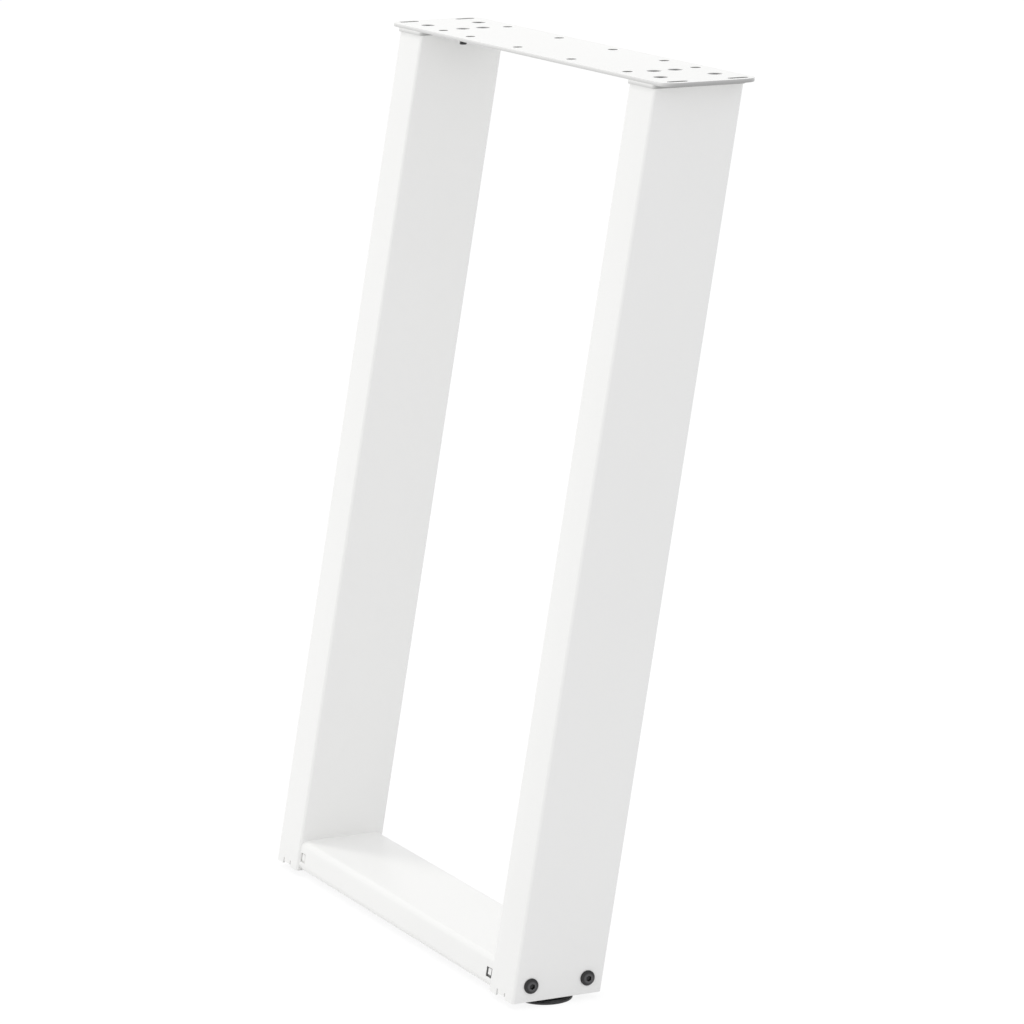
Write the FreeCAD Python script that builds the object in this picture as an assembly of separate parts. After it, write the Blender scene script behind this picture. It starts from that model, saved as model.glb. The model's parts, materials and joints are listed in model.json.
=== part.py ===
import FreeCAD, Part
import math
import os
from FreeCAD import Vector

os.makedirs("parts", exist_ok=True)

# A steel U-shaped table leg whose frame leans: a flat plate for the table top, two uprights of
# rectangular tube, a folded bar between their feet and a levelling foot under each upright.
# Millimetres. x runs along the plate, y from front to back, z = 0 is the plate's top face.

# Whole leg
leg_height = 704.0  # floor to the plate's top face with the feet screwed in
lean_angle = 10.0  # degrees between the uprights and the vertical, tops to the back

# Mounting plate
plate_length = 500.0
plate_depth = 80.0
plate_thickness = 3.0
plate_corner = 13.0
row_hole_diameter = 8.0
row_inset = 11.0  # from the plate's long edges to the two rows of holes
row_span = 332.0  # first to last hole of a row
row_pitch = 96.0  # between the last three holes of a row
row_first_gap = 52.0  # between the first two holes of a row
slot_length = 17.0
slot_width = 6.0
slot_inset = 9.0  # from the plate's ends to the slots' centre lines
slot_spread = 51.0  # between the two slots at one end

# Uprights
upright_width = 42.0
upright_depth = 76.0
upright_wall = 1.5
upright_corner = 2.5
plate_overhang = 20.0  # plate's end to the outer face of an upright
slit_spread = 13.0  # between the two slits at an upright's lower edge
slit_width = 1.8
slit_height = 5.0
tab_rise = 1.8  # how much shorter the wall is between the slits

# Head plate welded on each upright
head_thickness = 3.0
head_margin = 1.5  # how far it stands out past the tube all round
lug_reach = 56.0  # from the upright's centre line to the end of the inward lug
lug_depth = 40.0
lug_corner = 6.0

# Countersunk screws through the mounting plate
plate_screw_diameter = 6.0
plate_screw_length = 13.0
plate_screw_head = 11.2
plate_screw_sink = 0.4  # the heads' flats below the plate's top face
plate_screw_socket = 4.0  # across the flats of the hexagon
plate_screw_socket_depth = 2.0
outer_pair_spread = 46.0  # the two screws over the upright's centre line
inner_pair_spread = 18.0  # the two screws in the lug
inner_pair_reach = 38.0  # from the upright's centre line to the inner pair
screw_tip = 0.6  # chamfer at the end of every screw

# Bar between the feet
bar_height = 25.0
bar_wall = 1.5
bar_top_radius = 6.0
bar_bottom_radius = 6.0
bar_step = 1.3  # the bar's faces behind the uprights' front and back faces
bar_lip = 14.0  # the folds under the bar, measured from its faces
slot_in_bar_width = 9.5
slot_in_bar_height = 7.5
slot_in_bar_inset = 6.0  # bar's end to the slot's centre
slot_in_bar_rise = 12.0  # bar's lower edge to the slot's centre

# Bracket in each end of the bar
bracket_thickness = 2.5
bracket_flange = 18.0
bracket_height = 12.0
tab_width = 5.5
tab_height = 5.0
tab_lift = 0.6  # the tab's centre above the slot's
tab_recess = 0.7  # the tab's end behind the bar's face

# Screws and nuts that hold the bar
bar_screw_diameter = 6.0
bar_screw_length = 55.0
bar_screw_head = 12.0
bar_screw_head_height = 3.3
bar_screw_rim = 0.8  # straight edge of the head below its dome
bar_screw_socket = 4.0
bar_screw_socket_depth = 2.0
bar_screw_inset = 14.0  # the upright's front and back faces to the screws' centres
bar_nut_flats = 10.0
bar_nut_height = 5.0

# Levelling feet
foot_stand = 5.0  # underside of the foot to the lower edge of the upright
foot_travel = 10.0
pad_diameter = 43.0
pad_gap = 0.5  # between the pad's top and the upright's lower edge
pad_rim_height = 2.2
pad_rim_step = 1.0
pad_edge = 0.8
pad_shoulder = 3.4
pad_boss_diameter = 24.0
stem_diameter = 8.0
stem_seat = 1.2  # floor of the stem's blind hole above the pad's underside
stem_spare = 2.0  # thread left above the nut when the foot is fully out
stem_tip = 1.0
stem_flange_diameter = 16.0
stem_flange_height = 2.0
foot_plate_thickness = 3.0
foot_plate_rise = 2.0  # above the upright's lower edge
foot_nut_flats = 13.0
foot_nut_height = 6.5

# Clearances
thread_gap = 0.05  # radial, a screw or stem in its thread
hole_gap = 0.3  # radial, a screw in a plain hole
weld_gap = 0.2  # between a plate and the tube or bar that it is welded in

lean = math.tan(math.radians(lean_angle))
bottom = -leg_height + foot_stand
head_top = -plate_thickness
upright_top = head_top - head_thickness
upright_x = plate_length / 2 - plate_overhang - upright_width / 2
bar_half = upright_x - upright_width / 2
bar_depth = upright_depth - 2 * bar_step
bar_middle = bottom + bar_height / 2
nut_top = bottom + foot_plate_rise + foot_plate_thickness + foot_nut_height
sides = {"left": -1, "right": 1}


def leaning_y(z):
    """Middle of the frame's depth at height z."""
    return lean * z


def rounded_face(corners, radii):
    """Flat face with an arc at each corner: the tangent points lie radius / tan(half angle) away."""
    starts, middles, ends = [], [], []
    count = len(corners)
    for i, corner in enumerate(corners):
        back = (corners[i - 1] - corner).normalize()
        ahead = (corners[(i + 1) % count] - corner).normalize()
        half = back.getAngle(ahead) / 2
        reach = radii[i] / math.tan(half)
        inward = (back + ahead).normalize()
        centre = corner + inward * (radii[i] / math.sin(half))
        starts.append(corner + back * reach)
        middles.append(centre - inward * radii[i])
        ends.append(corner + ahead * reach)
    edges = []
    for i in range(count):
        edges.append(Part.Arc(starts[i], middles[i], ends[i]).toShape())
        edges.append(Part.LineSegment(ends[i], starts[(i + 1) % count]).toShape())
    return Part.Face(Part.Wire(edges))


def rectangle_face(width, depth, radius, z, x=0.0, y=0.0):
    """Horizontal rounded rectangle about (x, y) at height z."""
    signs = ((-1, -1), (1, -1), (1, 1), (-1, 1))
    corners = [Vector(x + sx * width / 2, y + sy * depth / 2, z) for sx, sy in signs]
    return rounded_face(corners, [radius] * 4)


def cylinder(diameter, z_low, z_high, x=0.0, y=0.0):
    return Part.makeCylinder(diameter / 2, z_high - z_low, Vector(x, y, z_low))


def hexagon(flats, z_low, z_high, x=0.0, y=0.0):
    """Upright hexagonal prism, two of its flats facing front and back."""
    radius = flats / math.sqrt(3)
    turns = [math.radians(60 * i) for i in range(7)]
    points = [Vector(x + radius * math.cos(t), y + radius * math.sin(t), z_low) for t in turns]
    return Part.Face(Part.makePolygon(points)).extrude(Vector(0, 0, z_high - z_low))


def revolve(profile, x=0.0, y=0.0):
    """Solid of revolution about a vertical axis from (radius, z) points."""
    points = [Vector(x + r, y, z) for r, z in profile]
    face = Part.Face(Part.makePolygon(points + points[:1]))
    return face.revolve(Vector(x, y, 0), Vector(0, 0, 1), 360)


def along_x(shape, x, y, z, side):
    """Turns a shape made about the vertical axis so that its +z points outward along x."""
    turned = shape.copy()
    turned.rotate(Vector(0, 0, 0), Vector(0, 1, 0), 90 * side)
    turned.translate(Vector(x, y, z))
    return turned


def leaning_prism(width, depth, radius, z_low, z_high, x):
    """Prism of a horizontal rounded rectangle carried along the lean."""
    face = rectangle_face(width, depth, radius, z_low, x, leaning_y(z_low))
    height = z_high - z_low
    return face.extrude(Vector(0, lean * height, height))


def plate_screw_places():
    """Centres of the countersunk screws: side, x, y."""
    places = []
    for side in sides.values():
        for half in (-1, 1):
            places.append((side, side * upright_x, half * outer_pair_spread / 2))
            inner_x = side * (upright_x - inner_pair_reach)
            places.append((side, inner_x, half * inner_pair_spread / 2))
    return places


def row_holes():
    """Centres of the plain holes: the back row is the front row turned by half a turn."""
    last = row_span / 2
    front = [-last, -last + row_first_gap, last - 2 * row_pitch, last - row_pitch, last]
    y = plate_depth / 2 - row_inset
    return [(x, -y) for x in front] + [(-x, y) for x in front]


def slots():
    """Centres of the slots near the plate's ends."""
    x = plate_length / 2 - slot_inset
    return [(sx * x, sy * slot_spread / 2) for sx in (-1, 1) for sy in (-1, 1)]


def slot_cutters(x, y):
    """A slot along y as a box between two round ends."""
    reach = (slot_length - slot_width) / 2
    ends = [cylinder(slot_width, -plate_thickness, 0, x, y + half * reach) for half in (-1, 1)]
    corner = Vector(x - slot_width / 2, y - reach, -plate_thickness)
    return ends + [Part.makeBox(slot_width, 2 * reach, plate_thickness, corner)]


def mounting_plate():
    face = rectangle_face(plate_length, plate_depth, plate_corner, -plate_thickness)
    plate = face.extrude(Vector(0, 0, plate_thickness))
    cuts = [cylinder(row_hole_diameter, -plate_thickness, 0, x, y) for x, y in row_holes()]
    for x, y in slots():
        cuts += slot_cutters(x, y)
    head = plate_screw_head / 2 + thread_gap
    low = plate_screw_diameter / 2 + thread_gap
    flare = (head - low) / (plate_thickness - plate_screw_sink)
    top = head + flare * plate_screw_sink
    for side, x, y in plate_screw_places():
        cone = [(0, -plate_thickness), (low, -plate_thickness), (top, 0), (0, 0)]
        cuts.append(revolve(cone, x, y))
    return plate.cut(cuts)


def head_plate(side):
    width = upright_width + 2 * head_margin
    depth = upright_depth + 2 * head_margin
    y = leaning_y(upright_top)
    x = side * upright_x
    body = rectangle_face(width, depth, upright_corner + head_margin, upright_top, x, y)
    body = body.extrude(Vector(0, 0, head_thickness))
    lug_x = x - side * lug_reach / 2
    lug = rectangle_face(lug_reach, lug_depth, lug_corner, upright_top)
    lug.translate(Vector(lug_x, 0, 0))
    body = body.fuse(lug.extrude(Vector(0, 0, head_thickness))).removeSplitter()
    hole = plate_screw_diameter + 2 * thread_gap
    cuts = []
    for screw_side, hole_x, hole_y in plate_screw_places():
        if screw_side == side:
            cuts.append(cylinder(hole, upright_top, head_top, hole_x, hole_y))
    return body.cut(cuts)


def bar_screw_ys():
    """Depths of the two screws that hold one end of the bar."""
    middle = leaning_y(bar_middle)
    reach = upright_depth / 2 - bar_screw_inset
    return [middle - reach, middle + reach]


def upright(side):
    x = side * upright_x
    outside = leaning_prism(upright_width, upright_depth, upright_corner, bottom, upright_top, x)
    inner_width = upright_width - 2 * upright_wall
    inner_depth = upright_depth - 2 * upright_wall
    inner_corner = upright_corner - upright_wall
    inside = leaning_prism(inner_width, inner_depth, inner_corner, bottom, upright_top, x)
    tube = outside.cut(inside)
    cuts = []
    reach = 2 * upright_depth
    low_y = leaning_y(bottom) - reach / 2
    for half in (-1, 1):
        slit_x = x + half * slit_spread / 2 - slit_width / 2
        cuts.append(Part.makeBox(slit_width, reach, slit_height, Vector(slit_x, low_y, bottom)))
    corner = Vector(x - slit_spread / 2, low_y, bottom)
    cuts.append(Part.makeBox(slit_spread, reach, tab_rise, corner))
    hole = Part.makeCylinder(bar_screw_diameter / 2 + hole_gap, upright_width, Vector(0, 0, 0))
    for y in bar_screw_ys():
        cuts.append(along_x(hole, side * bar_half, y, bar_middle, side))
    return tube.cut(cuts)


def foot_plate(side):
    x = side * upright_x
    low = bottom + foot_plate_rise
    room = 2 * (upright_wall + weld_gap)
    corner = upright_corner - upright_wall - weld_gap
    plate = leaning_prism(upright_width - room, upright_depth - room, corner, low,
                          low + foot_plate_thickness, x)
    hole = cylinder(stem_diameter + 2 * hole_gap, low, low + foot_plate_thickness, x, leaning_y(bottom))
    return plate.cut(hole)


def foot_nut(side):
    x = side * upright_x
    low = nut_top - foot_nut_height
    nut = hexagon(foot_nut_flats, low, nut_top, x, leaning_y(bottom))
    return nut.cut(cylinder(stem_diameter + 2 * thread_gap, low, nut_top, x, leaning_y(bottom)))


def foot_stem(side):
    """Threaded stem with the round flange that the pad is moulded around."""
    low = -leg_height + stem_seat
    high = nut_top + foot_travel + stem_spare
    radius = stem_diameter / 2
    profile = [
        (0, low),
        (stem_flange_diameter / 2, low),
        (stem_flange_diameter / 2, low + stem_flange_height),
        (radius, low + stem_flange_height),
        (radius, high - stem_tip),
        (radius - stem_tip, high),
        (0, high),
    ]
    return revolve(profile, side * upright_x, leaning_y(bottom))


def foot_pad(side):
    low = -leg_height
    high = bottom - pad_gap
    outer = pad_diameter / 2
    body = outer - pad_rim_step
    profile = [
        (0, low),
        (outer - pad_edge, low),
        (outer, low + pad_edge),
        (outer, low + pad_rim_height),
        (body, low + pad_rim_height),
        (body - pad_edge, low + pad_shoulder),
        (pad_boss_diameter / 2, high),
        (0, high),
    ]
    x, y = side * upright_x, leaning_y(bottom)
    return revolve(profile, x, y).cut(foot_stem(side))


def bar_outline(inset):
    """Section of the bar, all its walls moved inward by inset, as a face across x."""
    low = bottom + inset
    high = bottom + bar_height - inset
    slant = inset / math.cos(math.radians(lean_angle))
    half = bar_depth / 2 - slant
    corners = []
    for side, z in ((-1, low), (1, low), (1, high), (-1, high)):
        corners.append(Vector(-bar_half, leaning_y(z) + side * half, z))
    radii = [bar_bottom_radius - inset] * 2 + [bar_top_radius - inset] * 2
    return rounded_face(corners, radii)


def bar():
    length = Vector(2 * bar_half, 0, 0)
    channel = bar_outline(0).extrude(length).cut(bar_outline(bar_wall).extrude(length))
    gap = bar_depth - 2 * bar_lip
    low_y = leaning_y(bottom) - gap / 2
    cuts = [Part.makeBox(2 * bar_half, gap, bar_height / 2, Vector(-bar_half, low_y, bottom))]
    for side in sides.values():
        x = side * (bar_half - slot_in_bar_inset) - slot_in_bar_width / 2
        z = bottom + slot_in_bar_rise - slot_in_bar_height / 2
        y = leaning_y(bottom) - bar_depth
        cuts.append(Part.makeBox(slot_in_bar_width, 2 * bar_depth, slot_in_bar_height, Vector(x, y, z)))
    return channel.cut(cuts)


def depth_face(x, half, z_low, z_high):
    """Face across x that leans with the frame, half to the front and half to the back."""
    corners = []
    for edge, z in ((-1, z_low), (1, z_low), (1, z_high), (-1, z_high)):
        corners.append(Vector(x, leaning_y(z) + edge * half, z))
    return Part.Face(Part.makePolygon(corners + corners[:1]))


def bar_bracket(side):
    """Channel-shaped bracket: a wall across the bar's end, with a flange and a tab front and back."""
    low = bar_middle - bracket_height / 2
    high = bar_middle + bracket_height / 2
    half = bar_depth / 2 - bar_wall / math.cos(math.radians(lean_angle)) - weld_gap
    end = side * bar_half
    inward = Vector(-side * bracket_flange, 0, 0)
    pocket_end = end - side * bracket_thickness
    block = depth_face(end, half, low, high).extrude(inward)
    pocket = depth_face(pocket_end, half - bracket_thickness, low, high).extrude(inward)
    tab_low = bottom + slot_in_bar_rise + tab_lift - tab_height / 2
    tab_x = end - side * slot_in_bar_inset - tab_width / 2
    tabs = depth_face(tab_x, bar_depth / 2 - tab_recess, tab_low, tab_low + tab_height)
    tabs = tabs.extrude(Vector(tab_width, 0, 0))
    hole = Part.makeCylinder(bar_screw_diameter / 2 + thread_gap, bracket_thickness)
    holes = [along_x(hole, pocket_end, y, bar_middle, side) for y in bar_screw_ys()]
    return block.fuse(tabs).removeSplitter().cut([pocket] + holes)


def bar_nuts(side):
    """Two weld nuts on the inner side of a bracket's end wall."""
    nut = hexagon(bar_nut_flats, 0, bar_nut_height)
    nut = nut.cut(cylinder(bar_screw_diameter + 2 * thread_gap, 0, bar_nut_height))
    start = side * (bar_half - bracket_thickness - bar_nut_height)
    return Part.makeCompound([along_x(nut, start, y, bar_middle, side) for y in bar_screw_ys()])


def button_screw():
    """Button-head screw about the vertical axis, its head above z = 0: the dome is part of a ball."""
    radius = bar_screw_head / 2
    rise = bar_screw_head_height - bar_screw_rim
    ball_radius = (radius ** 2 + rise ** 2) / (2 * rise)
    ball = Part.makeSphere(ball_radius, Vector(0, 0, bar_screw_head_height - ball_radius))
    head = cylinder(bar_screw_head, 0, bar_screw_head_height).common(ball)
    shank = bar_screw_diameter / 2
    profile = [
        (0, -bar_screw_length),
        (shank - screw_tip, -bar_screw_length),
        (shank, -bar_screw_length + screw_tip),
        (shank, 0),
        (0, 0),
    ]
    low = bar_screw_head_height - bar_screw_socket_depth
    return head.fuse(revolve(profile)).cut(hexagon(bar_screw_socket, low, bar_screw_head_height))


def bar_screws(side):
    screw = button_screw()
    start = side * (upright_x + upright_width / 2)
    return Part.makeCompound([along_x(screw, start, y, bar_middle, side) for y in bar_screw_ys()])


def plate_screws():
    """Countersunk screws, their heads just below the plate's top face."""
    head = plate_screw_head / 2
    shank = plate_screw_diameter / 2
    flat = -plate_screw_sink
    screws = []
    for side, x, y in plate_screw_places():
        profile = [
            (0, -plate_screw_length),
            (shank - screw_tip, -plate_screw_length),
            (shank, -plate_screw_length + screw_tip),
            (shank, -plate_thickness),
            (head, flat),
            (0, flat),
        ]
        socket = hexagon(plate_screw_socket, flat - plate_screw_socket_depth, flat, x, y)
        screws.append(revolve(profile, x, y).cut(socket))
    return Part.makeCompound(screws)


shapes = {
    "mounting_plate": mounting_plate(),
    "plate_screws": plate_screws(),
    "foot_bar": bar(),
}
for name, side in sides.items():
    shapes[name + "_head_plate"] = head_plate(side)
    shapes[name + "_upright"] = upright(side)
    shapes[name + "_foot_plate"] = foot_plate(side)
    shapes[name + "_foot_nut"] = foot_nut(side)
    shapes[name + "_foot_stem"] = foot_stem(side)
    shapes[name + "_foot_pad"] = foot_pad(side)
    shapes[name + "_bar_bracket"] = bar_bracket(side)
    shapes[name + "_bar_nuts"] = bar_nuts(side)
    shapes[name + "_bar_screws"] = bar_screws(side)

for name, shape in shapes.items():
    shape.exportStep("parts/" + name + ".step")
    print(name, "solids", len(shape.Solids), "valid", shape.isValid(), "volume", round(shape.Volume, 1))
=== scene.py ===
import bmesh
import bpy
import json
import math
import numpy as np
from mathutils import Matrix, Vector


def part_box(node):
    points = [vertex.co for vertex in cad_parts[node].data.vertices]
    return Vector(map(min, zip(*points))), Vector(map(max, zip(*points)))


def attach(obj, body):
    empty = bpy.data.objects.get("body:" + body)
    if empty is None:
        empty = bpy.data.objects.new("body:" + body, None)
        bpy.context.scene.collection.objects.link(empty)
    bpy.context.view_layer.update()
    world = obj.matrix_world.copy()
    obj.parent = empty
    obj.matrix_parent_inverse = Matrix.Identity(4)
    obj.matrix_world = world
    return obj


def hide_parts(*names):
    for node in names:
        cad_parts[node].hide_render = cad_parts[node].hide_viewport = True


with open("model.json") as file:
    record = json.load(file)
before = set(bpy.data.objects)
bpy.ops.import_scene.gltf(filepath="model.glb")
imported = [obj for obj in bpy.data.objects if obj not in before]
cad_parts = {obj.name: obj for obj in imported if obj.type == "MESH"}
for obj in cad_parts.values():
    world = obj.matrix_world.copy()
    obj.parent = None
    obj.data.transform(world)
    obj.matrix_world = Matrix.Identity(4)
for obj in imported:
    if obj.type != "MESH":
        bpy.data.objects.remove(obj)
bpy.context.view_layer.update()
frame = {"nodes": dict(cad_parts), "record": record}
nodes = frame["nodes"]
print("frame loaded:", len(nodes), "pieces from the model")

mm = 0.001
sides = {"left": -1, "right": 1}


def boxOf(nodeName):
    # Lowest and highest corner of a node in millimetres
    low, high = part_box(nodeName)
    return np.array(low) / mm, np.array(high) / mm


def axisOf(nodeName):
    # Middle of a node seen from above
    low, high = boxOf(nodeName)
    return (low[0] + high[0]) / 2, (low[1] + high[1]) / 2


# Finishes: white powder coat, black and dark screws, zinc plate and black plastic

def newFinish(name):
    # A material with an empty Principled shader, and short ways to add and join its nodes
    material = bpy.data.materials.new(name)
    material.use_nodes = True
    tree = material.node_tree
    shader = tree.nodes["Principled BSDF"]

    def add(kind, **values):
        node = tree.nodes.new(kind)
        for key, value in values.items():
            if hasattr(node, key):
                setattr(node, key, value)
            else:
                node.inputs[key.replace("_", " ").title()].default_value = value
        return node

    def join(outNode, outName, inNode, inName):
        tree.links.new(outNode.outputs[outName], inNode.inputs[inName])

    return material, shader, add, join


def mapped(add, join, source, output, start, end, low, high):
    # Turns start to end into low to high, and holds both ends
    span = add("ShaderNodeMapRange")
    for name, value in (("From Min", start), ("From Max", end), ("To Min", low), ("To Max", high)):
        span.inputs[name].default_value = value
    join(source, output, span, "Value")
    return span


def sums(add, join, operation, source, output, *numbers):
    # One Math node on one value, with constants for its other inputs
    node = add("ShaderNodeMath", operation=operation)
    join(source, output, node, 0)
    for place, number in enumerate(numbers):
        node.inputs[place + 1].default_value = number
    return node


def product(add, join, first, second):
    node = add("ShaderNodeMath", operation="MULTIPLY")
    join(first, 0, node, 0)
    join(second, 0, node, 1)
    return node


def blended(add, join, factor, first, second):
    # first where the factor is 0, second where it is 1; each is a node or a plain number
    node = add("ShaderNodeMix", data_type="FLOAT")
    join(factor, 0, node, 0)
    for place, value in ((2, first), (3, second)):
        if isinstance(value, float):
            node.inputs[place].default_value = value
        else:
            join(value, 0, node, place)
    return node


whiteCoatLook = {
    "pale": (0.872, 0.872, 0.858, 1.0),
    "deep": (0.852, 0.852, 0.838, 1.0),
    "cloudScale": 9.0,  # slow drift of the colour over the long faces
    "peelScale": 480.0,  # orange peel, about two millimetres
    "grainScale": 2600.0,  # the powder's own fine grain
    "peelHeight": 0.000012,
    "grainHeight": 0.000003,
    "smoothest": 0.31,
    "roughest": 0.38,
    "specular": 0.50,
    "sheet": 3.0,  # thickness of the two plates, whose cut edges get painted shade
    "sheetMargin": 0.02,
    "openFacing": 0.9,  # share of up or down in the normal of a face that isn't an edge
    "edgeFacing": 0.35,  # and of one that is
    "halfLength": 250.0,
    "halfDepth": 40.0,
    "corner": 13.0,
    "rimWidth": 0.6,  # the outline's own rim, where no hole reaches
    # painted shade on the plates' cut edges, at the upper and the lower arris
    "edgeShadeTop": 0.97,
    "edgeShadeLow": 0.70,
    "edgeShadeFall": 0.8,  # share of the thickness over which the painted shade deepens
    "endFacing": (0.3, 0.95),  # share of sideways where the painted shade of a plate's end starts and is full
    # painted shade on a plate's ends
    "endShade": 0.64,
    # painted shade on the walls of the holes and slots
    "holeShade": 0.30,
    "lean": 10.0,
    "barHalfDepth": 36.7,
    "belowFace": 0.3,  # depth under the bar's face at which a slot's walls start
    "belowTab": 1.3,  # and at which the tab's own end is passed
    "tabFacing": 0.7,  # share of front or back in the normal of a tab's end
    "slotPlace": 182.0,
    "slotHeight": -687.0,
    "slotReach": 5.9,
    "slotGapShades": (1.0, 0.24),  # painted shade in the slots' gaps at the bar's left and right end
}


def paintedEdgeShade(add, join, place, look):
    # How much of the coat's colour is kept under painted shade: all of it on open faces, less on the cut edges
    # of the two plates, whose painted shade deepens from their upper to their lower arris, and little on the
    # walls of the holes and slots
    sheet = look["sheet"] * mm
    split = add("ShaderNodeSeparateXYZ")
    join(place, "Object", split, "Vector")
    facing = add("ShaderNodeSeparateXYZ")
    join(add("ShaderNodeNewGeometry"), "Normal", facing, "Vector")

    inPlates = sums(add, join, "COMPARE", split, "Z", -sheet, sheet - look["sheetMargin"] * mm)
    upDown = sums(add, join, "ABSOLUTE", facing, "Z")
    steep = mapped(add, join, upDown, 0, look["openFacing"], look["edgeFacing"], 0.0, 1.0)
    edge = product(add, join, inPlates, steep)

    # Painted shade on the plates' cut edges, deepening from the upper to the lower arris and deeper on a
    # plate's ends
    depth = sums(add, join, "MULTIPLY", split, "Z", -1 / sheet)
    depth = sums(add, join, "FRACT", depth, 0)
    ramp = mapped(add, join, depth, 0, 0.0, look["edgeShadeFall"], look["edgeShadeTop"], look["edgeShadeLow"])
    sideways = sums(add, join, "ABSOLUTE", facing, "X")
    atEnd = mapped(add, join, sideways, 0, *look["endFacing"], 1.0, look["endShade"])
    outer = product(add, join, ramp, atEnd)

    # A point lies inside the plate's outline where its reach past the corner circles' centres is under
    # their radius
    positive = add("ShaderNodeVectorMath", operation="ABSOLUTE")
    join(place, "Object", positive, 0)
    past = add("ShaderNodeVectorMath", operation="SUBTRACT")
    join(positive, 0, past, 0)
    radius = look["corner"]
    centreX, centreY = (look["halfLength"] - radius) * mm, (look["halfDepth"] - radius) * mm
    past.inputs[1].default_value = (centreX, centreY, 1.0)
    reach = add("ShaderNodeVectorMath", operation="MAXIMUM")
    join(past, 0, reach, 0)
    length = add("ShaderNodeVectorMath", operation="LENGTH")
    join(reach, 0, length, 0)
    within = sums(add, join, "LESS_THAN", length, "Value", (radius - look["rimWidth"]) * mm)
    upper = sums(add, join, "COMPARE", split, "Z", -sheet / 2, sheet / 2)
    wall = product(add, join, within, upper)

    # Painted shade on the walls of the plate's holes and slots
    paintedHoleShade = sums(add, join, "MULTIPLY", wall, 0, look["holeShade"])
    cut = blended(add, join, wall, outer, paintedHoleShade)
    return blended(add, join, edge, 1.0, cut)


def paintedSlotShade(add, join, place, look):
    # How much of the coat's colour is kept under painted shade in the bar's slots: all of it on a tab's own
    # end, which faces front or back, and less on the walls of the gap round the tab, whose painted shade
    # deepens toward the bar's right end
    split = add("ShaderNodeSeparateXYZ")
    join(place, "Object", split, "Vector")
    facing = add("ShaderNodeSeparateXYZ")
    join(add("ShaderNodeNewGeometry"), "Normal", facing, "Vector")

    middle = sums(add, join, "MULTIPLY", split, "Z", math.tan(math.radians(look["lean"])))
    across = add("ShaderNodeMath", operation="SUBTRACT")
    join(split, "Y", across, 0)
    join(middle, 0, across, 1)
    across = sums(add, join, "ABSOLUTE", across, 0)
    pastFace = sums(add, join, "LESS_THAN", across, 0, (look["barHalfDepth"] - look["belowFace"]) * mm)
    pastTab = sums(add, join, "LESS_THAN", across, 0, (look["barHalfDepth"] - look["belowTab"]) * mm)
    frontal = sums(add, join, "ABSOLUTE", facing, "Y")
    notTab = add("ShaderNodeMath", operation="MAXIMUM")
    join(sums(add, join, "LESS_THAN", frontal, 0, look["tabFacing"]), 0, notTab, 0)
    join(pastTab, 0, notTab, 1)

    slotX, reach = look["slotPlace"] * mm, look["slotReach"] * mm
    level = sums(add, join, "COMPARE", split, "Z", look["slotHeight"] * mm, reach)
    along = sums(add, join, "ABSOLUTE", split, "X")
    atSlot = sums(add, join, "COMPARE", along, 0, slotX, reach)
    gap = product(add, join, product(add, join, pastFace, notTab), product(add, join, level, atSlot))
    # Painted shade in the gaps, deeper toward the bar's right end
    paintedGapShade = mapped(add, join, split, "X", -slotX, slotX, *look["slotGapShades"])
    return blended(add, join, gap, 1.0, paintedGapShade)


def whiteCoat(look):
    # Powder coat on steel: a slow change of tone, orange peel over fine grain, and a roughness that follows
    # the peel; its colour is darkened by painted shade on cut edges and in holes and slots
    material, shader, add, join = newFinish("whiteCoat")
    place = add("ShaderNodeTexCoord")
    cloud = add("ShaderNodeTexNoise", scale=look["cloudScale"], detail=2.0, roughness=0.5)
    peel = add("ShaderNodeTexNoise", scale=look["peelScale"], detail=1.5, roughness=0.45)
    grain = add("ShaderNodeTexNoise", scale=look["grainScale"], detail=2.0, roughness=0.6)
    for noise in (cloud, peel, grain):
        join(place, "Object", noise, "Vector")
    tone = add("ShaderNodeMix", data_type="RGBA")
    tone.inputs[6].default_value = look["pale"]
    tone.inputs[7].default_value = look["deep"]
    join(cloud, "Fac", tone, "Factor")
    coat = add("ShaderNodeMix", data_type="RGBA", blend_type="MULTIPLY")
    coat.inputs[0].default_value = 1.0
    join(tone, 2, coat, 6)
    # Painted shade on the plates' cut edges, hole walls and slot gaps darkens the coat's colour
    edgeShade, slotGapShade = paintedEdgeShade(add, join, place, look), paintedSlotShade(add, join, place, look)
    join(product(add, join, edgeShade, slotGapShade), 0, coat, 7)
    join(coat, 2, shader, "Base Color")
    rough = mapped(add, join, peel, "Fac", 0.0, 1.0, look["smoothest"], look["roughest"])
    join(rough, "Result", shader, "Roughness")
    grainBump = add("ShaderNodeBump", strength=1.0, distance=look["grainHeight"])
    peelBump = add("ShaderNodeBump", strength=1.0, distance=look["peelHeight"])
    join(grain, "Fac", grainBump, "Height")
    join(peel, "Fac", peelBump, "Height")
    join(grainBump, "Normal", peelBump, "Normal")
    join(peelBump, "Normal", shader, "Normal")
    shader.inputs["Specular IOR Level"].default_value = look["specular"]
    return material


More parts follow.
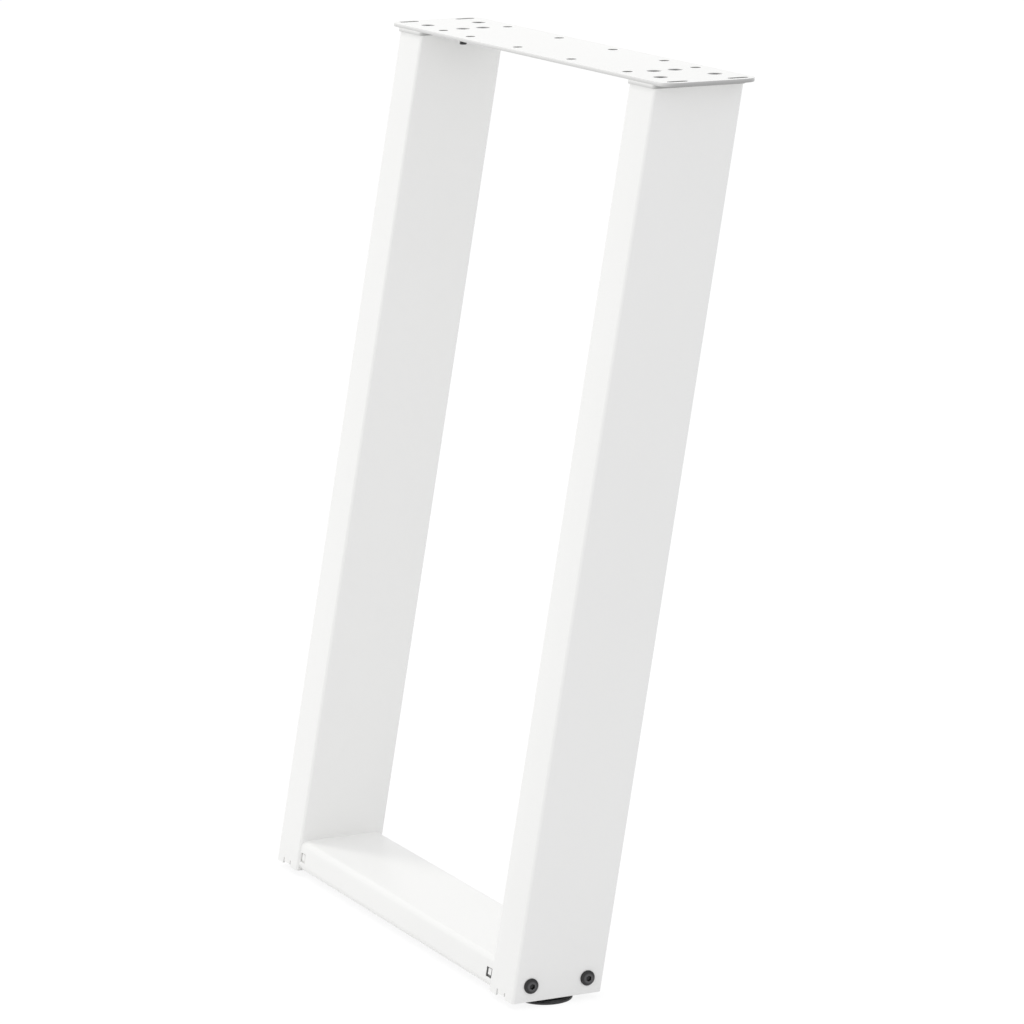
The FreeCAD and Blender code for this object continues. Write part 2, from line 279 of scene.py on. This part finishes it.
smallPartLooks = {
    "blackOxide": {
        "pale": (0.068, 0.068, 0.070, 1.0),
        "deep": (0.044, 0.044, 0.046, 1.0),
        "metallic": 0.0,
        "smoothest": 0.38,
        "roughest": 0.58,
        "grainScale": 1500.0,
        "grainHeight": 0.00002,
    },
    "darkSteel": {
        "pale": (0.115, 0.115, 0.119, 1.0),
        "deep": (0.088, 0.088, 0.091, 1.0),
        "rim": (0.046, 0.046, 0.047, 1.0),  # painted shade on the flank and the socket, below the crown, which is left lighter as a painted highlight
        "crown": (232.1, 232.7),  # from the middle of the leg, where the crown's painted highlight starts and is full
        "metallic": 1.0,
        "smoothest": 0.28,
        "roughest": 0.42,
        "grainScale": 1300.0,
        "grainHeight": 0.00002,
    },
    "zincPlate": {
        "pale": (0.640, 0.650, 0.665, 1.0),
        "deep": (0.500, 0.510, 0.520, 1.0),
        "metallic": 1.0,
        "smoothest": 0.24,
        "roughest": 0.40,
        "grainScale": 700.0,
        "grainHeight": 0.00001,
    },
    "blackPlastic": {
        "pale": (0.022, 0.022, 0.023, 1.0),
        "deep": (0.012, 0.012, 0.013, 1.0),
        "metallic": 0.0,
        "smoothest": 0.42,
        "roughest": 0.56,
        "grainScale": 1800.0,
        "grainHeight": 0.00003,
    },
}


cloudCoarseness = 8  # of the two tones' noise, in sizes of the grain


def smallPartFinish(name):
    # A screw's, nut's or foot's finish: two tones by a soft noise, with a fine grain in the roughness and
    # the bump
    look = smallPartLooks[name]
    material, shader, add, join = newFinish(name)
    place = add("ShaderNodeTexCoord")
    cloud = add("ShaderNodeTexNoise", scale=look["grainScale"] / cloudCoarseness, detail=3.0, roughness=0.55)
    grain = add("ShaderNodeTexNoise", scale=look["grainScale"], detail=3.0, roughness=0.6)
    for noise in (cloud, grain):
        join(place, "Object", noise, "Vector")
    tone = add("ShaderNodeMix", data_type="RGBA")
    tone.inputs[6].default_value = look["pale"]
    tone.inputs[7].default_value = look["deep"]
    join(cloud, "Fac", tone, "Factor")
    # Painted shade on a screw head's flank and socket, which leaves the crown lighter as a painted highlight
    if "crown" in look:
        split = add("ShaderNodeSeparateXYZ")
        join(place, "Object", split, "Vector")
        reach = sums(add, join, "ABSOLUTE", split, "X")
        start, full = look["crown"]
        crown = mapped(add, join, reach, 0, start * mm, full * mm, 0.0, 1.0)
        shadedFlank = add("ShaderNodeMix", data_type="RGBA")
        shadedFlank.inputs[6].default_value = look["rim"]
        join(crown, "Result", shadedFlank, "Factor")
        join(tone, 2, shadedFlank, 7)
        tone = shadedFlank
    join(tone, 2, shader, "Base Color")
    rough = mapped(add, join, grain, "Fac", 0.0, 1.0, look["smoothest"], look["roughest"])
    join(rough, "Result", shader, "Roughness")
    bump = add("ShaderNodeBump", strength=1.0, distance=look["grainHeight"])
    join(grain, "Fac", bump, "Height")
    join(bump, "Normal", shader, "Normal")
    shader.inputs["Metallic"].default_value = look["metallic"]
    return material


finishes = {
    "white_coat": whiteCoat(whiteCoatLook),
    "black_screws": smallPartFinish("blackOxide"),
    "dark_screws": smallPartFinish("darkSteel"),
    "black_plastic": smallPartFinish("blackPlastic"),
    "zinc_steel": smallPartFinish("zincPlate"),
}
slotOfNode = {entry["node"]: entry["material_slot"] for entry in frame["record"]["subparts"]}
print("finishes made:", ", ".join(sorted(finishes)))


# Sheet and tube: the nodes' own shapes with their cut edges rounded

def addPiece(mesh, name, nodeName, body):
    # Puts a finished mesh in the scene in place of one node of the model, with that node's finish
    piece = bpy.data.objects.new(name, mesh)
    bpy.context.scene.collection.objects.link(piece)
    mesh.materials.clear()
    mesh.materials.append(finishes[slotOfNode[nodeName]])
    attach(piece, body)
    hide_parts(nodeName)
    return piece


sheetEdges = {
    "mounting_plate": {"piece": "drilledPlate", "round": 0.35, "steps": 3},
    "foot_bar": {"piece": "foldedBar", "round": 0.25, "steps": 2, "seatedEnds": True},
}
for sideName in sides:
    sheetEdges[sideName + "_head_plate"] = {"piece": sideName + "HeadPlate", "round": 0.4, "steps": 3}
    sheetEdges[sideName + "_upright"] = {"piece": sideName + "Tube", "round": 0.25, "steps": 2}
    sheetEdges[sideName + "_bar_bracket"] = {"piece": sideName + "Bracket", "round": 0.3, "steps": 2,
                                             "seatedEnds": True}
    sheetEdges[sideName + "_foot_plate"] = {"piece": sideName + "FootPlate", "round": 0.3, "steps": 2}

micronsPerMetre = 1e6
flatAngle = 0.3  # degrees; faces that turn by less are parts of one flat face
cutAngle = 40  # and edges that turn by more are cut edges
crispSheetAngle = 30  # or stay crisp in the shading
seatMargin = 0.01


def weldedCopy(source, name):
    # Reads the node's triangles as whole arrays and joins the corners that lie within a micron of each other
    corners = np.empty(len(source.vertices) * 3)
    source.vertices.foreach_get("co", corners)
    corners = corners.reshape(-1, 3)
    order = np.empty(len(source.loops), dtype=np.int64)
    source.loops.foreach_get("vertex_index", order)
    grid = np.round(corners * micronsPerMetre).astype(np.int64)
    unique, first, inverse = np.unique(grid, axis=0, return_index=True, return_inverse=True)
    triangles = inverse.reshape(-1)[order].reshape(-1, 3)
    whole = (triangles != np.roll(triangles, 1, axis=1)).all(axis=1)
    mesh = bpy.data.meshes.new(name)
    mesh.from_pydata(corners[first].tolist(), [], triangles[whole].tolist())
    return mesh


def markCutEdges(work, seatedAt):
    # Every sharp edge is marked for rounding, apart from those of an end that is seated on an upright
    weight = work.edges.layers.float.new("bevel_weight_edge")
    for edge in work.edges:
        seated = all(abs(corner.co.x) > seatedAt for corner in edge.verts)
        if not seated and edge.calc_face_angle(0.0) > math.radians(cutAngle):
            edge[weight] = 1.0


def roundedSheet(nodeName, edge):
    # The node's own shape with its flat faces made whole and every cut edge turned over a small radius
    mesh = weldedCopy(nodes[nodeName].data, edge["piece"])
    barEnd = boxOf("foot_bar")[1][0] * mm
    work = bmesh.new()
    work.from_mesh(mesh)
    bmesh.ops.dissolve_limit(work, angle_limit=math.radians(flatAngle), verts=work.verts, edges=work.edges)
    markCutEdges(work, barEnd - seatMargin * mm if "seatedEnds" in edge else math.inf)
    work.to_mesh(mesh)
    work.free()
    mesh.shade_smooth()
    mesh.set_sharp_from_angle(angle=math.radians(crispSheetAngle))
    piece = addPiece(mesh, edge["piece"], nodeName, "frame")
    bevel = piece.modifiers.new("cutEdge", "BEVEL")
    bevel.width = edge["round"] * mm
    bevel.segments = edge["steps"]
    bevel.limit_method = "WEIGHT"
    bevel.use_clamp_overlap = True
    bevel.harden_normals = True


for nodeName, edge in sheetEdges.items():
    roundedSheet(nodeName, edge)
print("sheet and tube done:", len(sheetEdges), "pieces")


# Turned pieces: screws, nuts and levelling feet

def turnedRows(rows, around):
    # Points of a surface of revolution whose radius may change round the turn. Each row gives a radius and a
    # height as numbers or arrays over the turn; x = radius cos(turn), y = radius sin(turn), z = height.
    turn = np.arange(around) * 2 * np.pi / around
    radius = np.array([np.broadcast_to(r, around) for r, z in rows])
    height = np.array([np.broadcast_to(z, around) for r, z in rows])
    return np.stack((radius * np.cos(turn), radius * np.sin(turn), height), axis=-1).reshape(-1, 3)


def rowQuads(rowCount, around, closed):
    # Four-sided faces between each row and the next, and from the last row to the first one if closed
    low = np.arange(rowCount if closed else rowCount - 1)[:, None] * around
    high = (low + around) % (rowCount * around)
    here = np.arange(around)
    ahead = np.roll(here, -1)
    return np.stack((low + here, low + ahead, high + ahead, high + here), axis=-1).reshape(-1, 4)


def turnedShape(rows, around):
    # Rows that start and end on the axis get a point there, and others close in a ring. Rows that run upward on
    # the outside have their faces outward.
    if np.any(rows[0][0]):
        return turnedRows(rows, around), rowQuads(len(rows), around, True).tolist()
    inner = rows[1:-1]
    ends = np.array(((0, 0, rows[0][1]), (0, 0, rows[-1][1])), dtype=float)
    points = np.concatenate((turnedRows(inner, around), ends))
    bottom = len(inner) * around
    last = bottom - around
    here = np.arange(around)
    ahead = np.roll(here, -1)
    fans = np.concatenate((np.stack((np.full(around, bottom), ahead, here), axis=-1),
                           np.stack((np.full(around, bottom + 1), last + here, last + ahead), axis=-1)))
    return points, rowQuads(len(inner), around, False).tolist() + fans.tolist()


thread = {
    "steps": 8,  # rows in each pitch
    "middle": 0.5,  # place of the root in a pitch
    "rootRise": 1.25,  # over 1, so that the root is flat
    "flankSlope": 3.2,
}


def threadRows(radius, pitch, depth, low, high, around):
    # Rows of a screw thread: the radius falls from crest to root and back once in each pitch, and the whole
    # pattern climbs by one pitch in a turn. The depth fades to nothing at both ends.
    turn = np.arange(around) / around
    heights = np.linspace(low, high, int(round((high - low) / pitch * thread["steps"])) + 1)
    rows = []
    for height in heights:
        phase = np.mod(height / pitch - turn, 1.0)
        groove = thread["rootRise"] - np.abs(phase - thread["middle"]) * thread["flankSlope"]
        groove = np.clip(groove, 0.0, 1.0)
        fade = min(1.0, (height - low) / pitch, (high - height) / pitch)
        rows.append((radius - depth * fade * groove, height))
    return rows


def hexagonRadius(flats, around):
    # Distance from the axis to a hexagon's side in each direction round the turn
    turn = np.arange(around) * 360.0 / around
    return flats / 2 / np.cos(np.radians(np.mod(turn, 60.0) - 30.0))


socket = {
    "leadIn": 0.15,
    "coneShare": 0.6,  # of the wall's radius, where the floor's shallow slope turns into the cone
    "coneTop": 0.1,
    "coneTip": 0.35,
}


def socketRows(flats, depth, top, around):
    # The key's socket from its mouth, with a slight lead-in, down to a shallow drilled cone
    wall = hexagonRadius(flats, around)
    floor = top - depth
    return [(wall + socket["leadIn"], top), (wall, top - socket["leadIn"]), (wall, floor),
            (socket["coneShare"] * wall, floor - socket["coneTop"]), (0.0, floor - socket["coneTip"])]


nutShape = {
    "crownStep": 0.1,  # the flat crown ends this far inside the flats
    "coneSlope": 0.6,  # rise for each millimetre inward of the cone that cuts back the corners
    "coneRises": (0.0, 0.25, 0.5, 1.0),
    "mouth": 0.4,  # chamfer of the bore
}


def nutRows(flats, height, bore, around):
    # From the bore's lower mouth outward and up: a hexagon with its corners cut back, then back down the bore
    side = hexagonRadius(flats, around)
    crown = flats / 2 - nutShape["crownStep"]
    mouth = nutShape["mouth"]
    up = [(np.minimum(side, crown + rise / nutShape["coneSlope"]), rise) for rise in nutShape["coneRises"]]
    down = [(radius, height - rise) for radius, rise in reversed(up)]
    return [(bore, mouth), (bore + mouth, 0.0)] + up + down + [(bore + mouth, height), (bore, height - mouth)]


crispTurnedAngle = 32  # degrees; sharper edges stay crisp in the shading


def turnedMesh(name, copies):
    # One mesh of several turned shapes, in metres: every copy is (rows, around, turn matrix, place)
    points, faces, start = [], [], 0
    for rows, around, turning, place in copies:
        grid, polygons = turnedShape(rows, around)
        points.append((grid @ np.array(turning).T + np.array(place)) * mm)
        faces += [[corner + start for corner in polygon] for polygon in polygons]
        start += len(grid)
    mesh = bpy.data.meshes.new(name)
    mesh.from_pydata(np.concatenate(points).tolist(), [], faces)
    mesh.shade_smooth()
    mesh.set_sharp_from_angle(angle=math.radians(crispTurnedAngle))
    return mesh


upward = ((1, 0, 0), (0, 1, 0), (0, 0, 1))
outward = {-1: ((0, 0, -1), (0, 1, 0), (1, 0, 0)), 1: ((0, 0, 1), (0, 1, 0), (-1, 0, 0))}

plateScrew = {
    "radius": 2.97,
    "tip": boxOf("plate_screws")[0][2],
    "flat": boxOf("plate_screws")[1][2],  # the heads lie a little below the plate's top face
    "plate": -3.0,  # the cone ends at the plate's lower face
    "pitch": 1.0,
    "depth": 0.55,
    "tipStep": 0.6,  # the flat tip's radius is this much under the thread's
    "tipHeight": 0.5,
    "threadEnd": 0.2,  # under the cone
    "head": 5.6,
    # Steps inward and down from the head's upper corner
    "rim": ((0.35, 0.33), (0.08, 0.2), (0.05, 0.06), (0.2, 0.0)),
    "key": 4.0,
    "keyDepth": 1.6,
    "around": 48,
    "overUpright": axisOf("right_upright")[0],
    "inLug": 38.0,  # from the upright's centre line to the inner pair
    "outerSpread": 46.0,
    "innerSpread": 18.0,
}


def plateScrewRows(s):
    # From the tip up: chamfer, thread, cone of the head, its rim, and the flat with the socket
    threadLow, threadTop = s["tip"] + s["tipHeight"], s["plate"] - s["threadEnd"]
    rows = [(0, s["tip"]), (s["radius"] - s["tipStep"], s["tip"])]
    rows += threadRows(s["radius"], s["pitch"], s["depth"], threadLow, threadTop, s["around"])
    rows.append((s["radius"], s["plate"]))
    rows += [(s["head"] - inward, s["flat"] - down) for inward, down in s["rim"]]
    return rows + socketRows(s["key"], s["keyDepth"], s["flat"], s["around"])


plateScrewCopies = []
for side in sides.values():
    for half in (-1, 1):
        over = (side * plateScrew["overUpright"], half * plateScrew["outerSpread"] / 2, 0)
        lugX = side * (plateScrew["overUpright"] - plateScrew["inLug"])
        inside = (lugX, half * plateScrew["innerSpread"] / 2, 0)
        for place in (over, inside):
            plateScrewCopies.append((plateScrewRows(plateScrew), plateScrew["around"], upward, place))
addPiece(turnedMesh("plateScrews", plateScrewCopies), "plateScrews", "plate_screws", "frame")
print("plate screws done:", len(plateScrewCopies))

barScrew = {
    "radius": 2.97,
    "length": 55.0,
    "threaded": 20.0,
    "pitch": 1.0,
    "depth": 0.55,
    "tipStep": 0.6,  # the flat tip's radius is this much under the thread's
    "tipHeight": 0.5,
    "shankStart": 0.5,  # over the thread
    "head": 6.0,
    "headHeight": 3.3,
    "heel": ((0.25, 0.0), (0.05, 0.12), (0.0, 0.35)),  # inward and up from the head's lower corner
    "rim": 0.8,
    "domeRings": 9,
    "crown": 3.0,  # radius of the flat ring round the socket
    "lip": 0.05,  # the socket's mouth over the dome's last ring
    "key": 4.0,
    "keyDepth": 2.2,
    "around": 72,
}


def barScrewRows(s):
    # From the tip up: thread, plain shank, flat under the head, rim, a dome that is part of a ball, and
    # the socket
    threadLow, threadTop = -s["length"] + s["tipHeight"], -s["length"] + s["threaded"]
    rows = [(0, -s["length"]), (s["radius"] - s["tipStep"], -s["length"])]
    rows += threadRows(s["radius"], s["pitch"], s["depth"], threadLow, threadTop, s["around"])
    rows += [(s["radius"], threadTop + s["shankStart"]), (s["radius"], 0)]
    rows += [(s["head"] - inward, up) for inward, up in s["heel"]]
    rows.append((s["head"], s["rim"]))
    rise = s["headHeight"] - s["rim"]
    ball = (s["head"] ** 2 + rise ** 2) / (2 * rise)
    ringHeight = 0.0
    for radius in np.linspace(s["head"], s["crown"], s["domeRings"])[1:]:
        ringHeight = s["headHeight"] - ball + math.sqrt(ball ** 2 - radius ** 2)
        rows.append((radius, ringHeight))
    return rows + socketRows(s["key"], s["keyDepth"], ringHeight + s["lip"], s["around"])


def pairAlongX(nodeName, reach, side, rows, around, start):
    # Two turned shapes that point outward along x, one at each end of the node's depth, reach from its faces
    low, high = boxOf(nodeName)
    height = (low[2] + high[2]) / 2
    return [(rows, around, outward[side], (start, y, height)) for y in (low[1] + reach, high[1] - reach)]


for sideName, side in sides.items():
    nodeName = sideName + "_bar_screws"
    face = side * boxOf("right_upright")[1][0]
    copies = pairAlongX(nodeName, barScrew["head"], side, barScrewRows(barScrew), barScrew["around"], face)
    addPiece(turnedMesh(sideName + "BarScrews", copies), sideName + "BarScrews", nodeName, "frame")
print("bar screws done")

barNut = {
    "flats": 10.0,
    "bore": 3.05,
    "around": 72,
}
for sideName, side in sides.items():
    nodeName = sideName + "_bar_nuts"
    low, high = boxOf(nodeName)
    rows = nutRows(barNut["flats"], high[0] - low[0], barNut["bore"], barNut["around"])
    start = low[0] if side > 0 else high[0]
    copies = pairAlongX(nodeName, barNut["flats"] / 2, side, rows, barNut["around"], start)
    addPiece(turnedMesh(sideName + "BarNuts", copies), sideName + "BarNuts", nodeName, "frame")

footNut = {
    "flats": 13.0,
    "bore": 4.05,
    "around": 72,
}
for sideName in sides:
    nodeName = sideName + "_foot_nut"
    low, high = boxOf(nodeName)
    rows = nutRows(footNut["flats"], high[2] - low[2], footNut["bore"], footNut["around"])
    place = (*axisOf(nodeName), low[2])
    nut = turnedMesh(sideName + "FootNut", [(rows, footNut["around"], upward, place)])
    addPiece(nut, sideName + "FootNut", nodeName, "frame")
print("nuts done")

foot = {
    "floor": boxOf("left_foot_pad")[0][2],
    "padTop": boxOf("left_foot_pad")[1][2],
    "stemLow": boxOf("left_foot_stem")[0][2],
    "stemTop": boxOf("left_foot_stem")[1][2],
    "stemRadius": 3.96,
    "flangeRadius": 8.0,
    "flangeHeight": 2.0,
    "pitch": 1.25,
    "depth": 0.7,
    "threadStart": 0.3,  # over the flange
    "stemTip": 1.0,  # chamfer
    "around": 64,
    "padRadius": 21.5,
    "ring": ((13.0, 0.0), (13.5, 0.5), (16.5, 0.5), (17.0, 0.0)),  # radius and depth of the sole's shallow ring
    "soleEdge": 0.8,  # radii of the rounded edges
    "rimEdge": 0.4,
    "rimHeight": 2.2,
    "rimStep": 1.0,
    "rimFillet": 0.1,
    "neck": (0.3, 0.5),  # inward from the body and down from the shoulder, where the side starts to roll over
    "shoulder": 3.4,
    "shoulderStep": 0.8,
    "shoulderSag": 0.15,
    "bossRadius": 12.0,
    "bossStep": 0.5,
    "well": ((4.6, 0.0), (4.15, 0.4), (4.15, 1.2), (0.0, 1.2)),  # radius and depth of the hole for the stem
    "padAround": 120,
}


def stemRows(f):
    # From below: the flange, the thread above it and a chamfered tip
    low, top, radius, tip = f["stemLow"], f["stemTop"], f["stemRadius"], f["stemTip"]
    flangeTop = low + f["flangeHeight"]
    threadLow = flangeTop + f["threadStart"]
    rows = [(0, low), (f["flangeRadius"], low), (f["flangeRadius"], flangeTop), (radius, flangeTop)]
    rows += threadRows(radius, f["pitch"], f["depth"], threadLow, top - tip, f["around"])
    return rows + [(radius - tip, top), (0, top)]


def padRows(f):
    # The moulded pad: a flat sole with a shallow ring in it, a rounded rim, a step, a domed side and a
    # flat boss
    low, top, radius, body = f["floor"], f["padTop"], f["padRadius"], f["padRadius"] - f["rimStep"]
    shoulder = low + f["shoulder"]
    rimTop = low + f["rimHeight"]
    rows = [(0, low)] + [(ringRadius, low + depth) for ringRadius, depth in f["ring"]]
    edge = f["soleEdge"]
    rows.append((radius - edge, low))
    for angle in np.radians(np.linspace(15, 90, 6)):  # the sole's edge, part of a circle
        rows.append((radius - edge + edge * math.sin(angle), low + edge - edge * math.cos(angle)))
    edge = f["rimEdge"]
    for angle in np.radians(np.linspace(0, 90, 5)):  # the rim's upper edge
        rows.append((radius - edge + edge * math.cos(angle), rimTop - edge + edge * math.sin(angle)))
    rows += [(body + f["rimFillet"], rimTop), (body, rimTop + f["rimFillet"])]
    rows.append((body - f["neck"][0], shoulder - f["neck"][1]))
    coneStart = body - f["shoulderStep"]
    for part in np.linspace(0, 1, 8):  # the side rolls over into the cone that runs up to the boss
        sag = f["shoulderSag"] * (1 - part) ** 2
        coneRadius = coneStart - part * (coneStart - f["bossRadius"])
        rows.append((coneRadius, shoulder + part * (top - shoulder) - sag))
    rows.append((f["bossRadius"] - f["bossStep"], top))
    return rows + [(wellRadius, top - depth) for wellRadius, depth in f["well"]]


for sideName in sides:
    place = (*axisOf(sideName + "_foot_pad"), 0)
    body = sideName + "_foot"
    stem = turnedMesh(sideName + "Stem", [(stemRows(foot), foot["around"], upward, place)])
    addPiece(stem, sideName + "Stem", sideName + "_foot_stem", body)
    pad = turnedMesh(sideName + "Pad", [(padRows(foot), foot["padAround"], upward, place)])
    addPiece(pad, sideName + "Pad", sideName + "_foot_pad", body)
print("levelling feet done")


# Floor, light and camera

studio = {
    "floorSize": 60.0,
    "floorPoints": 5,  # along each side
    "floorGap": 0.05,  # millimetres under the soles, so that no two faces lie in one plane
    "floorTone": (0.83, 0.83, 0.83, 1.0),  # what the object sees of the floor
    "seenDiffuse": (0.15, 0.15, 0.15, 1.0),  # what the camera sees: a white floor that keeps a soft shadow
    "seenGlow": 0.88,
    "skyStrength": 0.93,
    "skyTint": (0.995, 0.995, 1.012, 1.0),
    "lampTint": (1.0, 1.0, 0.95),
    "keyPlace": (-2.44, -0.82, 2.72),
    "keySize": 0.7,
    "keyPower": 28.0,
    "frontPlace": (0.3, -2.6, 1.0),
    "frontSize": 1.6,
    "frontPower": 8.0,
    "target": (0.0, -0.06, -0.35),
}


def seenDirectly(tree):
    # 1 for what the camera sees, straight or in a gloss or through glass, and 0 for the light on the object
    rays = tree.nodes.new("ShaderNodeLightPath")
    gloss = tree.nodes.new("ShaderNodeMath")
    glass = tree.nodes.new("ShaderNodeMath")
    gloss.operation = glass.operation = "MAXIMUM"
    tree.links.new(rays.outputs["Is Camera Ray"], gloss.inputs[0])
    tree.links.new(rays.outputs["Is Glossy Ray"], gloss.inputs[1])
    tree.links.new(gloss.outputs[0], glass.inputs[0])
    tree.links.new(rays.outputs["Is Transmission Ray"], glass.inputs[1])
    return glass.outputs[0]


def makeFloor(s):
    # A square grid of points in one plane, under the feet
    count = s["floorPoints"]
    span = np.linspace(-s["floorSize"] / 2, s["floorSize"] / 2, count)
    x, y = np.meshgrid(span, span)
    points = np.stack((x, y, np.full_like(x, (foot["floor"] - s["floorGap"]) * mm)), axis=-1).reshape(-1, 3)
    near = (np.arange(count - 1)[:, None] * count + np.arange(count - 1)).reshape(-1)
    far = near + count
    mesh = bpy.data.meshes.new("studioFloor")
    mesh.from_pydata(points.tolist(), [], np.stack((near, near + 1, far + 1, far), axis=-1).tolist())
    floor = bpy.data.objects.new("studioFloor", mesh)
    bpy.context.scene.collection.objects.link(floor)

    material = bpy.data.materials.new("studioFloor")
    material.use_nodes = True
    tree = material.node_tree
    tree.nodes.clear()
    output = tree.nodes.new("ShaderNodeOutputMaterial")
    plain = tree.nodes.new("ShaderNodeBsdfDiffuse")
    plain.inputs["Color"].default_value = s["floorTone"]
    shade = tree.nodes.new("ShaderNodeBsdfDiffuse")
    shade.inputs["Color"].default_value = s["seenDiffuse"]
    glow = tree.nodes.new("ShaderNodeEmission")
    glow.inputs["Strength"].default_value = s["seenGlow"]
    seen = tree.nodes.new("ShaderNodeAddShader")
    choice = tree.nodes.new("ShaderNodeMixShader")
    tree.links.new(shade.outputs[0], seen.inputs[0])
    tree.links.new(glow.outputs[0], seen.inputs[1])
    tree.links.new(seenDirectly(tree), choice.inputs[0])
    tree.links.new(plain.outputs[0], choice.inputs[1])
    tree.links.new(seen.outputs[0], choice.inputs[2])

    # From below the floor is clear, so that the underside shows
    clear = tree.nodes.new("ShaderNodeBsdfTransparent")
    below = tree.nodes.new("ShaderNodeMixShader")
    geometry = tree.nodes.new("ShaderNodeNewGeometry")
    tree.links.new(geometry.outputs["Backfacing"], below.inputs[0])
    tree.links.new(choice.outputs[0], below.inputs[1])
    tree.links.new(clear.outputs[0], below.inputs[2])
    tree.links.new(below.outputs[0], output.inputs["Surface"])
    mesh.materials.append(material)


def makeSky(s):
    # An even pale sky that lights the object, and plain white where the camera sees it
    world = bpy.data.worlds.new("studioSky")
    world.use_nodes = True
    tree = world.node_tree
    tree.nodes.clear()
    output = tree.nodes.new("ShaderNodeOutputWorld")
    light = tree.nodes.new("ShaderNodeBackground")
    light.inputs["Strength"].default_value = s["skyStrength"]
    light.inputs["Color"].default_value = s["skyTint"]
    seen = tree.nodes.new("ShaderNodeBackground")
    seen.inputs["Color"].default_value = (1, 1, 1, 1)
    choice = tree.nodes.new("ShaderNodeMixShader")
    tree.links.new(seenDirectly(tree), choice.inputs[0])
    tree.links.new(light.outputs[0], choice.inputs[1])
    tree.links.new(seen.outputs[0], choice.inputs[2])
    tree.links.new(choice.outputs[0], output.inputs["Surface"])
    bpy.context.scene.world = world


def softLamp(name, place, size, power, s):
    # A square area lamp that faces the target
    lamp = bpy.data.lights.new(name, "AREA")
    lamp.shape = "SQUARE"
    lamp.size = size
    lamp.energy = power
    lamp.color = s["lampTint"]
    lampObject = bpy.data.objects.new(name, lamp)
    bpy.context.scene.collection.objects.link(lampObject)
    lampObject.location = place
    toTarget = np.array(s["target"]) - np.array(place)
    tilt = math.atan2(math.hypot(toTarget[0], toTarget[1]), -toTarget[2])
    heading = math.atan2(toTarget[1], toTarget[0]) - math.pi / 2
    lampObject.rotation_euler = (tilt, 0, heading)


makeFloor(studio)
makeSky(studio)
softLamp("keyLamp", studio["keyPlace"], studio["keySize"], studio["keyPower"], studio)
softLamp("frontLamp", studio["frontPlace"], studio["frontSize"], studio["frontPower"], studio)

view = {
    "place": (3.49545, -1.71521, 0.43034),
    "turn": (78.3421, 0.3487, 64.4409),
    "lens": 173.973,
    "sensor": 36.0,
    "farthest": 100.0,
}
camera = bpy.data.cameras.new("photoCamera")
camera.lens = view["lens"]
camera.sensor_width = view["sensor"]
camera.clip_end = view["farthest"]
cameraObject = bpy.data.objects.new("photoCamera", camera)
bpy.context.scene.collection.objects.link(cameraObject)
cameraObject.location = view["place"]
cameraObject.rotation_euler = [math.radians(angle) for angle in view["turn"]]
bpy.context.scene.camera = cameraObject
bpy.context.scene.view_settings.view_transform = "Standard"
print("studio done")
